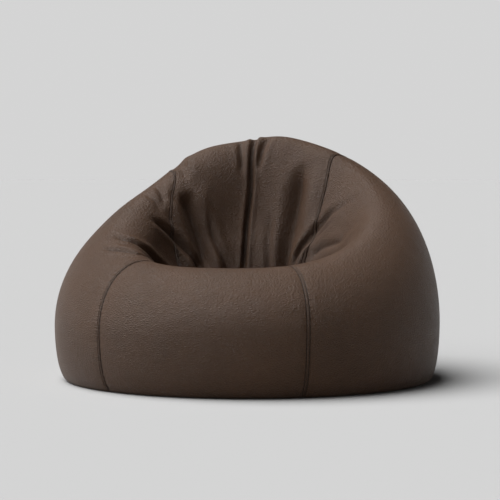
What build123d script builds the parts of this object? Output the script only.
from build123d import *
import os
from math import atan2, ceil, cos, hypot, pi, radians, sin

# A bean bag chair: a big leather sack, pushed in at the top to make a bucket seat with a low
# front roll and a high back. The leather cover is four tapered panels (gores) that run from the
# base, over the rim and down into the seat, a round seat panel and a two-part base with a zip.
# Inside it is a cloth liner with its own zip, and the liner holds the loose beads.
#
# Millimetres. The chair stands on the floor at z = 0, its front faces -Y and +X is to the right.
# Angles round the seat are measured from the front, and grow towards +X.

# ---------------------------------------------------------------- driving dimensions

SEAT_CENTRE = (0.0, -20.0)          # the upright axis that the panels fan out from
SEAT_HEIGHT = 225.0                 # the middle of the seat, above the floor
SEAT_RING = 160.0                   # radius of the round seat panel

FLOOR_HALF = (565.0, 500.0)         # half width and half depth of the oval on the floor
FLOOR_MIDDLE = (0.0, 0.0)
BELLY_HALF = (601.0, 565.0)         # the widest oval
BELLY_MIDDLE = (-4.0, 0.0)
BELLY_HEIGHTS = (190.0, 180.0, 240.0, 170.0)    # front, right, back, left
RIM_HALF = (410.0, 360.0)           # the oval along the top of the roll
RIM_MIDDLE = (8.0, -20.0)
RIM_LOW = 365.0                     # top of the roll at the front
RIM_HIGH = 752.0                    # top of the back
RIM_TURN = radians(14)              # how far the highest place lies right of the back's middle
RIM_RISE = 1.6                      # over 1 keeps the front low for longer
WELL_HALF = (285.0, 250.0)          # the oval where the inner wall is steepest
WELL_MIDDLE = (0.0, -20.0)
WELL_SHARES = (0.45, 0.42, 0.40, 0.42)          # its height, as a share from seat to rim
WELL_SLOPE = (-0.42, -0.90)         # how the inner wall falls towards the seat there

COVER_THICKNESS = 1.6
LINER_THICKNESS = 1.0
LAYER_GAP = 3.5                     # room between the cover, the liner and the beads
BASE_THICKNESS = 3.0                # base cloth with its turned hem
JOIN_GAP = 0.5                      # between an oval base and the panels sewn round it

LINER_LIFT = 15.0                   # the liner's base, above the floor
FILL_LIFT = 24.0                    # the lowest beads

# Each seam lies in an upright plane through a point of the rim and a point of the seat ring.
SEAM_FRONT_LEFT = (radians(-54), radians(-74))
SEAM_FRONT_RIGHT = (radians(21), radians(21))
SEAM_BACK_RIGHT = (radians(133), radians(137))
SEAM_BACK_LEFT = (radians(220), radians(248))
SECTION_STEP = radians(12)          # angle between the sections that a panel is lofted through

# Places along a panel, from its floor edge (0) to the seat ring (1).
AT_BELLY = 0.20
AT_RIM = 0.52
AT_WELL = 0.78
STATIONS = (0, 0.05, 0.10, 0.15, 0.20, 0.27, 0.34, 0.40, 0.46, 0.52,
            0.59, 0.66, 0.72, 0.78, 0.84, 0.89, 0.95, 1)

# Both zips run along X, with a coil chain about 10 mm wide when it is closed.
ZIP_Y = 200.0                       # the cover's zip, behind the middle of the base
ZIP_LENGTH = 600.0
ZIP_HEM_HEIGHT = 9.0                # the base turns up beside the zip and lifts it off the floor
ZIP_HEM_THICKNESS = 3.0
ZIP_CHANNEL = 26.0                  # width of the slot in the base
LINER_ZIP_Y = -120.0
LINER_ZIP_LENGTH = 400.0
LINER_ZIP_SLOT = 14.0
TAPE_WIDTH = 18.0
TAPE_THICKNESS = 0.7
CHAIN_WIDTH = 4.0                   # one side of the chain
CHAIN_HEIGHT = 2.6
CHAIN_GAP = 2.0                     # where the slider's divider runs
SLIDER_LENGTH = 14.0
SLIDER_WIDTH = 13.2
SLIDER_PLATE = 1.0
SLIDER_PLAY = 0.4
SLIDER_LIP = 0.8
DIVIDER = (4.0, 1.2)                # length and width
STOP_LENGTH = 4.0
BAIL_SPAN = 7.0                     # the bridge that holds the pull
BAIL_WIDTH = 3.0
BAIL_BAR = 0.9
BAIL_ROOM = 1.9                     # between the slider's plate and the bridge
PULL_THICKNESS = 1.2
PULL_LENGTH = 26.0
PULL_WIDTH = 9.0
PULL_ARM = 1.6
PULL_WINDOW = 9.0                   # length of the opening that goes round the bridge


# ---------------------------------------------------------------- the sack's shape

def round_the_bag(angle, front, right, back, left):
    """A smooth value round the bag from its values at the four sides."""
    middle = (front + right + back + left) / 4
    along = (front - back) / 2 * cos(angle) + (right - left) / 2 * sin(angle)
    return middle + along + (front + back - right - left) / 4 * cos(2 * angle)


def reach(angle, half, middle):
    """Distance from the seat's axis to an oval, in the direction of an angle."""
    step = (sin(angle) / half[0], -cos(angle) / half[1])
    start = ((SEAT_CENTRE[0] - middle[0]) / half[0], (SEAT_CENTRE[1] - middle[1]) / half[1])
    square = step[0] ** 2 + step[1] ** 2
    mixed = step[0] * start[0] + step[1] * start[1]
    rest = start[0] ** 2 + start[1] ** 2 - 1
    return (-mixed + (mixed ** 2 - square * rest) ** 0.5) / square


def bezier(ends, share):
    """A point on a cubic curve with four control points (radius, height)."""
    weights = ((1 - share) ** 3, 3 * share * (1 - share) ** 2, 3 * share ** 2 * (1 - share), share ** 3)
    return tuple(sum(w * end[i] for w, end in zip(weights, ends)) for i in (0, 1))


def profile(angle, share, inset, lift):
    """Radius and height of a layer: inset is its depth in the bag, lift is its base's height."""
    floor = reach(angle, FLOOR_HALF, FLOOR_MIDDLE) - inset
    belly = reach(angle, BELLY_HALF, BELLY_MIDDLE) - inset
    belly_height = round_the_bag(angle, *BELLY_HEIGHTS)
    if share <= AT_BELLY:
        turn = pi / 2 * share / AT_BELLY
        return floor + (belly - floor) * sin(turn), lift + (belly_height - lift) * (1 - cos(turn))

    rim = reach(angle, RIM_HALF, RIM_MIDDLE)
    rim_rise = ((1 - cos(angle + RIM_TURN)) / 2) ** RIM_RISE
    rim_height = RIM_LOW + (RIM_HIGH - RIM_LOW) * rim_rise - inset
    if share <= AT_RIM:
        turn = pi / 2 * (share - AT_BELLY) / (AT_RIM - AT_BELLY)
        return rim + (belly - rim) * cos(turn), belly_height + (rim_height - belly_height) * sin(turn)

    seat_height = SEAT_HEIGHT - inset
    well = reach(angle, WELL_HALF, WELL_MIDDLE) + inset
    well_height = seat_height + (rim_height - seat_height) * round_the_bag(angle, *WELL_SHARES)
    if share <= AT_WELL:
        pull = 0.35 * hypot(rim - well, rim_height - well_height)
        before = (well - WELL_SLOPE[0] * pull, well_height - WELL_SLOPE[1] * pull)
        ends = ((rim, rim_height), (rim - 0.6 * (rim - well), rim_height), before, (well, well_height))
        return bezier(ends, (share - AT_RIM) / (AT_WELL - AT_RIM))

    pull = hypot(well - SEAT_RING, well_height - seat_height)
    after = (well + WELL_SLOPE[0] * 0.4 * pull, well_height + WELL_SLOPE[1] * 0.4 * pull)
    ends = ((well, well_height), after, (SEAT_RING + 0.3 * pull, seat_height), (SEAT_RING, seat_height))
    return bezier(ends, (share - AT_WELL) / (1 - AT_WELL))


def beside(angle, radius):
    """The point in plan at an angle and a distance from the seat's axis."""
    return SEAT_CENTRE[0] + radius * sin(angle), SEAT_CENTRE[1] - radius * cos(angle)


def seam_line(seam):
    """A seam's plane in plan: its start on the seat ring, and its direction outwards."""
    rim_angle, seat_angle = seam
    start = beside(seat_angle, SEAT_RING)
    rim = beside(rim_angle, reach(rim_angle, RIM_HALF, RIM_MIDDLE))
    length = hypot(rim[0] - start[0], rim[1] - start[1])
    return start, ((rim[0] - start[0]) / length, (rim[1] - start[1]) / length)


def seam_plane(seam):
    start, outwards = seam_line(seam)
    return Plane(origin=(*start, 0), x_dir=(*outwards, 0), z_dir=(outwards[1], -outwards[0], 0))


def outline(seam, inset, lift):
    """Points of a layer's profile in a seam's plane: distance out from the seat ring, height."""
    start, outwards = seam_line(seam)
    points = []
    for share in STATIONS:
        along = 0.0
        for _ in range(20):                     # closes in on the place where the plane cuts the ring
            east = start[0] + outwards[0] * along - SEAT_CENTRE[0]
            north = start[1] + outwards[1] * along - SEAT_CENTRE[1]
            radius, height = profile(atan2(east, -north), share, inset, lift)
            along += radius - hypot(east, north)
        points.append((along, height))
    return points


def seams_between(first, last):
    """Evenly spaced section planes from one seam to the next."""
    count = ceil((last[0] - first[0]) / SECTION_STEP)
    for k in range(count + 1):
        yield tuple(a + (b - a) * k / count for a, b in zip(first, last))


def gore(first, last, inset, lift, thickness):
    """A tapered panel between two seams, as a thin closed shell."""
    with BuildPart() as panel:
        for seam in seams_between(first, last):
            outside = outline(seam, inset, lift)
            inside = outline(seam, inset + thickness, lift + thickness)
            with BuildSketch(seam_plane(seam)):
                with BuildLine():
                    Spline(*outside)
                    Line(outside[-1], inside[-1])
                    Spline(*inside[::-1])
                    Line(inside[0], outside[0])
                make_face()
        loft()
    return panel


def bead_segment(first, last, inset, lift):
    """The beads between two seams, from the seat ring outwards."""
    with BuildPart() as segment:
        for seam in seams_between(first, last):
            outside = outline(seam, inset, lift)
            with BuildSketch(seam_plane(seam)):
                with BuildLine():
                    Spline(*outside)
                    Polyline(outside[-1], (outside[-1][0], lift), outside[0])
                make_face()
        loft()
    return segment


# ---------------------------------------------------------------- flat panels

def seat_round(height, thickness):
    """The round panel where the gores meet in the seat."""
    with BuildPart() as panel:
        with BuildSketch(Plane.XY.offset(height - thickness)):
            with Locations(SEAT_CENTRE):
                Circle(SEAT_RING - JOIN_GAP)
        extrude(amount=thickness)
    return panel


def base_half(side, inset, lift, thickness, zip_y, slot):
    """Half of an oval base, in front of the zip (side -1) or behind it (side 1)."""
    half_x, half_y = (half - inset - thickness - JOIN_GAP for half in FLOOR_HALF)
    edge = Align.MIN if side < 0 else Align.MAX
    with BuildPart() as panel:
        with BuildSketch(Plane.XY.offset(lift)):
            Ellipse(half_x, half_y)
            with Locations((0, zip_y)):
                Rectangle(2 * half_x, 4 * half_y, align=(Align.CENTER, edge), mode=Mode.SUBTRACT)
                Rectangle(*slot, mode=Mode.SUBTRACT)
        extrude(amount=thickness)
    return panel


def cover_base_half(side):
    """A base panel of the cover, with its edge turned up beside the zip."""
    slot = (ZIP_LENGTH + 2 * PULL_LENGTH, ZIP_CHANNEL)
    flat = base_half(side, 0, 0, BASE_THICKNESS, ZIP_Y, slot)
    edge = Align.MAX if side < 0 else Align.MIN
    with BuildPart() as panel:
        add(flat.part)
        with BuildSketch(Plane.XY.offset(BASE_THICKNESS)):
            with Locations((0, ZIP_Y + side * ZIP_CHANNEL / 2)):
                Rectangle(slot[0], ZIP_HEM_THICKNESS, align=(Align.CENTER, edge))
        extrude(amount=ZIP_HEM_HEIGHT - BASE_THICKNESS)
    return panel


# ---------------------------------------------------------------- zips

def zip_strip(side, zip_y, level, length, start, width, height):
    """A straight strip beside the zip's middle line, from start to start + width."""
    with BuildPart() as strip:
        with BuildSketch(Plane.XY.offset(level)):
            with Locations((0, zip_y + side * (start + width / 2))):
                Rectangle(length, width)
        extrude(amount=height)
    return strip


def zip_tape(side, zip_y, level, length):
    return zip_strip(side, zip_y, level, length, CHAIN_GAP / 2 + CHAIN_WIDTH, TAPE_WIDTH, TAPE_THICKNESS)


def zip_chain(side, zip_y, level, length):
    """One side of the coil, as its plain outer shape."""
    bottom = level + TAPE_THICKNESS / 2 - CHAIN_HEIGHT / 2
    chain = zip_strip(side, zip_y, bottom, length, CHAIN_GAP / 2, CHAIN_WIDTH, CHAIN_HEIGHT)
    with BuildPart() as rounded:
        add(chain.part)
        fillet(rounded.edges().filter_by(Axis.X), CHAIN_HEIGHT / 5)
    return rounded


def zip_stops(zip_y, level, length):
    """The two metal stops that end the chain."""
    width = CHAIN_GAP + 2 * CHAIN_WIDTH
    with BuildPart() as stops:
        with BuildSketch(Plane.XY.offset(level + TAPE_THICKNESS / 2 - CHAIN_HEIGHT / 2)):
            with Locations((-length / 2 - STOP_LENGTH / 2, zip_y), (length / 2 + STOP_LENGTH / 2, zip_y)):
                Rectangle(STOP_LENGTH, width)
        extrude(amount=CHAIN_HEIGHT)
    return stops


def slider_levels(level):
    """Heights of the slider's lower plate and of its upper one."""
    middle = level + TAPE_THICKNESS / 2
    return (middle - CHAIN_HEIGHT / 2 - SLIDER_PLAY - SLIDER_PLATE,
            middle + CHAIN_HEIGHT / 2 + SLIDER_PLAY)


def zip_slider(x, zip_y, level):
    """Two plates joined by a divider, with lips along their sides that guide the chain."""
    lower, upper = slider_levels(level)
    lip_width = SLIDER_WIDTH / 2 - CHAIN_GAP / 2 - CHAIN_WIDTH - SLIDER_PLAY
    lip_middle = SLIDER_WIDTH / 2 - lip_width / 2
    with BuildPart() as slider:
        for bottom in (lower, upper):
            with BuildSketch(Plane.XY.offset(bottom)):
                with Locations((x, zip_y)):
                    RectangleRounded(SLIDER_LENGTH, SLIDER_WIDTH, 3)
            extrude(amount=SLIDER_PLATE)
        for bottom in (lower + SLIDER_PLATE, upper - SLIDER_LIP):
            with BuildSketch(Plane.XY.offset(bottom)):
                with Locations((x, zip_y - lip_middle), (x, zip_y + lip_middle)):
                    Rectangle(SLIDER_LENGTH - 6, lip_width)
            extrude(amount=SLIDER_LIP)
        with BuildSketch(Plane.XY.offset(lower + SLIDER_PLATE)):
            with Locations((x, zip_y)):
                Rectangle(*DIVIDER)
        extrude(amount=upper - lower - SLIDER_PLATE)
    return slider


def zip_slider_with_bail(x, zip_y, level):
    """The cover's slider, with a bridge under it for the pull."""
    plain = zip_slider(x, zip_y, level)
    lower, _ = slider_levels(level)
    with BuildPart() as slider:
        add(plain.part)
        with BuildSketch(Plane.XZ.offset(-zip_y - BAIL_WIDTH / 2)):
            with Locations((x, lower)):
                Rectangle(BAIL_SPAN, BAIL_ROOM + BAIL_BAR, align=(Align.CENTER, Align.MAX))
                Rectangle(BAIL_SPAN - 2 * BAIL_BAR, BAIL_ROOM,
                          align=(Align.CENTER, Align.MAX), mode=Mode.SUBTRACT)
        extrude(amount=BAIL_WIDTH)
    return slider


def pull_axis_height(level):
    lower, _ = slider_levels(level)
    return lower - BAIL_ROOM / 2


def zip_pull(x, zip_y, level):
    """A flat tab whose window goes round the bridge, and whose cross bar turns in it."""
    middle = pull_axis_height(level)
    with BuildPart() as pull:
        with BuildSketch(Plane.XY.offset(middle - PULL_THICKNESS / 2)):
            with Locations((x - PULL_LENGTH / 2 + PULL_THICKNESS / 2, zip_y)):
                RectangleRounded(PULL_LENGTH, PULL_WIDTH, 1.5)
            with Locations((x - PULL_THICKNESS / 2, zip_y)):
                Rectangle(PULL_WINDOW, PULL_WIDTH - 2 * PULL_ARM,
                          align=(Align.MAX, Align.CENTER), mode=Mode.SUBTRACT)
        extrude(amount=PULL_THICKNESS)
        fillet(pull.edges().group_by(Axis.X)[-1].filter_by(Axis.Y), PULL_THICKNESS / 2 - 0.05)
    return pull


# ---------------------------------------------------------------- making the pieces

COVER_ZIP = (ZIP_Y, ZIP_HEM_HEIGHT)                 # its line across the base, and its height
LINER_ZIP = (LINER_ZIP_Y, LINER_LIFT + LINER_THICKNESS)
COVER_SLIDER_X = ZIP_LENGTH / 2 - SLIDER_LENGTH / 2 - 1
LINER_SLIDER_X = LINER_ZIP_LENGTH / 2 - SLIDER_LENGTH / 2 - 1

LINER_INSET = COVER_THICKNESS + LAYER_GAP
FILL_INSET = LINER_INSET + LINER_THICKNESS + LAYER_GAP

FULL_TURN = 2 * pi
SEAM_FRONT_RIGHT_AGAIN = tuple(angle + FULL_TURN for angle in SEAM_FRONT_RIGHT)
SEAM_FRONT_LEFT_AGAIN = tuple(angle + FULL_TURN for angle in SEAM_FRONT_LEFT)

COVER_GORES = {
    "front_gore": (SEAM_FRONT_LEFT, SEAM_FRONT_RIGHT),
    "right_gore": (SEAM_FRONT_RIGHT, SEAM_BACK_RIGHT),
    "back_gore": (SEAM_BACK_RIGHT, SEAM_BACK_LEFT),
    "left_gore": (SEAM_BACK_LEFT, SEAM_FRONT_LEFT_AGAIN),
}
LINER_GORES = {
    "liner_right_gore": (SEAM_FRONT_RIGHT, SEAM_BACK_RIGHT),
    "liner_back_gore": (SEAM_BACK_RIGHT, SEAM_BACK_LEFT),
    "liner_left_gore": (SEAM_BACK_LEFT, SEAM_FRONT_RIGHT_AGAIN),
}


def cover_pieces():
    for name, seams in COVER_GORES.items():
        yield name, gore(*seams, 0, 0, COVER_THICKNESS)
    yield "seat_panel", seat_round(SEAT_HEIGHT, COVER_THICKNESS)
    yield "base_front_panel", cover_base_half(-1)
    yield "base_back_panel", cover_base_half(1)
    for side, place in ((-1, "front"), (1, "back")):
        yield f"zip_tape_{place}", zip_tape(side, *COVER_ZIP, ZIP_LENGTH + 2 * STOP_LENGTH)
        yield f"zip_chain_{place}", zip_chain(side, *COVER_ZIP, ZIP_LENGTH)
    yield "zip_stops", zip_stops(*COVER_ZIP, ZIP_LENGTH)
    yield "zip_slider", zip_slider_with_bail(COVER_SLIDER_X, *COVER_ZIP)
    yield "zip_pull", zip_pull(COVER_SLIDER_X, *COVER_ZIP)


def liner_pieces():
    for name, seams in LINER_GORES.items():
        yield name, gore(*seams, LINER_INSET, LINER_LIFT, LINER_THICKNESS)
    yield "liner_seat_panel", seat_round(SEAT_HEIGHT - LINER_INSET, LINER_THICKNESS)
    slot = (LINER_ZIP_LENGTH + 2 * STOP_LENGTH, LINER_ZIP_SLOT)
    for side, place in ((-1, "front"), (1, "back")):
        yield (f"liner_base_{place}",
               base_half(side, LINER_INSET, LINER_LIFT, LINER_THICKNESS, LINER_ZIP_Y, slot))
        yield f"liner_zip_tape_{place}", zip_tape(side, *LINER_ZIP, slot[0])
        yield f"liner_zip_chain_{place}", zip_chain(side, *LINER_ZIP, LINER_ZIP_LENGTH)
    yield "liner_zip_stops", zip_stops(*LINER_ZIP, LINER_ZIP_LENGTH)
    yield "liner_zip_slider", zip_slider(LINER_SLIDER_X, *LINER_ZIP)


def bead_fill():
    """All the beads as one body: a segment behind each gore, and a round core under the seat."""
    segments = [bead_segment(*seams, FILL_INSET, FILL_LIFT) for seams in COVER_GORES.values()]
    with BuildPart() as fill:
        with BuildSketch(Plane.XY.offset(FILL_LIFT + 1)):
            with Locations(SEAT_CENTRE):
                Circle(SEAT_RING + 10)
        extrude(amount=SEAT_HEIGHT - FILL_INSET - FILL_LIFT - 2)
        for segment in segments:
            add(segment.part)
    return fill


def main():
    os.makedirs("parts", exist_ok=True)
    pieces = dict(cover_pieces())
    pieces.update(liner_pieces())
    pieces["bead_fill"] = bead_fill()
    for name, piece in pieces.items():
        piece.part.label = name
        export_step(piece.part, f"parts/{name}.step")
    print(len(pieces), "pieces, pull axis at z =", round(pull_axis_height(ZIP_HEM_HEIGHT), 3),
          "and x =", COVER_SLIDER_X)


main()
